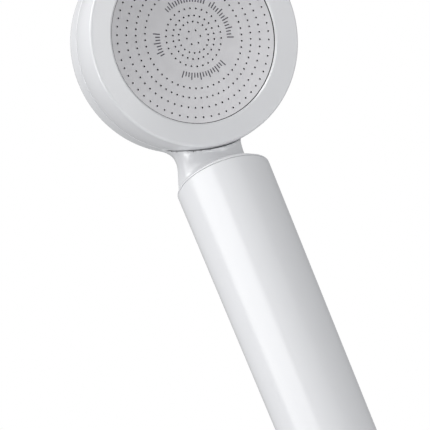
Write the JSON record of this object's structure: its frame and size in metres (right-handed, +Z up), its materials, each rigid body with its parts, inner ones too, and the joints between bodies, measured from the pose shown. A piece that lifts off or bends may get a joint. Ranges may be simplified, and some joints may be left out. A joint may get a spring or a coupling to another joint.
{
  "type": "handheld shower head",
  "caption": "Handheld shower head with a round tilted steel spray plate, screw-on bezel, necked body and a thick tapered filter handle ending in a threaded hose connector.",
  "frame": {"origin": "centre of the end face of the hose thread, where the hose washer seats", "axes": "+Z up the handle's axis towards the head, -Y out of the spray side, +X to the right seen from the spray side; symmetric about x = 0"},
  "size_m": [0.0774, 0.0569, 0.2394],
  "materials": {
    "white_abs": "gloss injection-moulded ABS with a fine satin bloom",
    "steel_plate": "satin stainless steel sheet",
    "chromed_brass": "chrome plate on brass",
    "rubber_seal": "matt moulded rubber",
    "clear_seal": "translucent silicone",
    "natural_pom": "natural acetal",
    "regulator_green": "coloured acetal",
    "pp_cotton": "wound polypropylene fibre",
    "spring_steel": "bright spring wire"
  },
  "bodies": {
    "handle": {"handle_tube": "white_abs", "hose_connector": "chromed_brass", "connector_oring": "rubber_seal", "inlet_strainer": "natural_pom", "flow_regulator": "regulator_green", "regulator_oring": "rubber_seal", "check_valve_body": "natural_pom", "valve_oring": "rubber_seal", "check_valve_spring": "spring_steel"},
    "valve": {"check_valve_poppet": "natural_pom", "poppet_seal": "rubber_seal"},
    "filter": {"filter_bottom_cap": "natural_pom", "filter_core": "natural_pom", "filter_sleeve": "pp_cotton", "filter_top_cap": "natural_pom", "filter_oring": "rubber_seal"},
    "neck_seal": {"neck_oring": "rubber_seal"},
    "head": {"body_shell": "white_abs", "diffuser_disc": "natural_pom"},
    "plate": {"plate_gasket": "clear_seal", "spray_plate": "steel_plate"},
    "bezel": {"bezel_ring": "white_abs"}
  },
  "joints": [
    {"name": "check_valve_open", "type": "slide", "parent": "handle", "child": "valve", "axis": [0, 0, 1], "range_m": [0, 0.0022], "stiffness_N_per_m": 80, "springref_m": -0.002, "deforming": ["check_valve_spring"]},
    {"name": "cartridge_pull", "type": "slide", "parent": "handle", "child": "filter", "axis": [0, 0, 1], "range_m": [0, 0.125]},
    {"name": "head_lift", "type": "slide", "parent": "filter", "child": "neck_seal", "axis": [0, 0, 1], "range_m": [0, 0.006]},
    {"name": "head_turn", "type": "hinge", "parent": "neck_seal", "child": "head", "pos_m": [0, 0, 0.151], "axis": [0, 0, 1], "range_deg": [0, 1080]},
    {"name": "bezel_lift", "type": "slide", "parent": "head", "child": "plate", "axis": [0, -0.9097, -0.4152], "range_m": [0, 0.004]},
    {"name": "bezel_turn", "type": "hinge", "parent": "plate", "child": "bezel", "pos_m": [0, -0.02278, 0.19617], "axis": [0, -0.9097, -0.4152], "range_deg": [0, 720]}
  ],
  "couplings": [
    {"joint": "head_turn", "follows": "head_lift", "rad_per_m": 3141.6},
    {"joint": "bezel_turn", "follows": "bezel_lift", "rad_per_m": 3141.6}
  ]
}
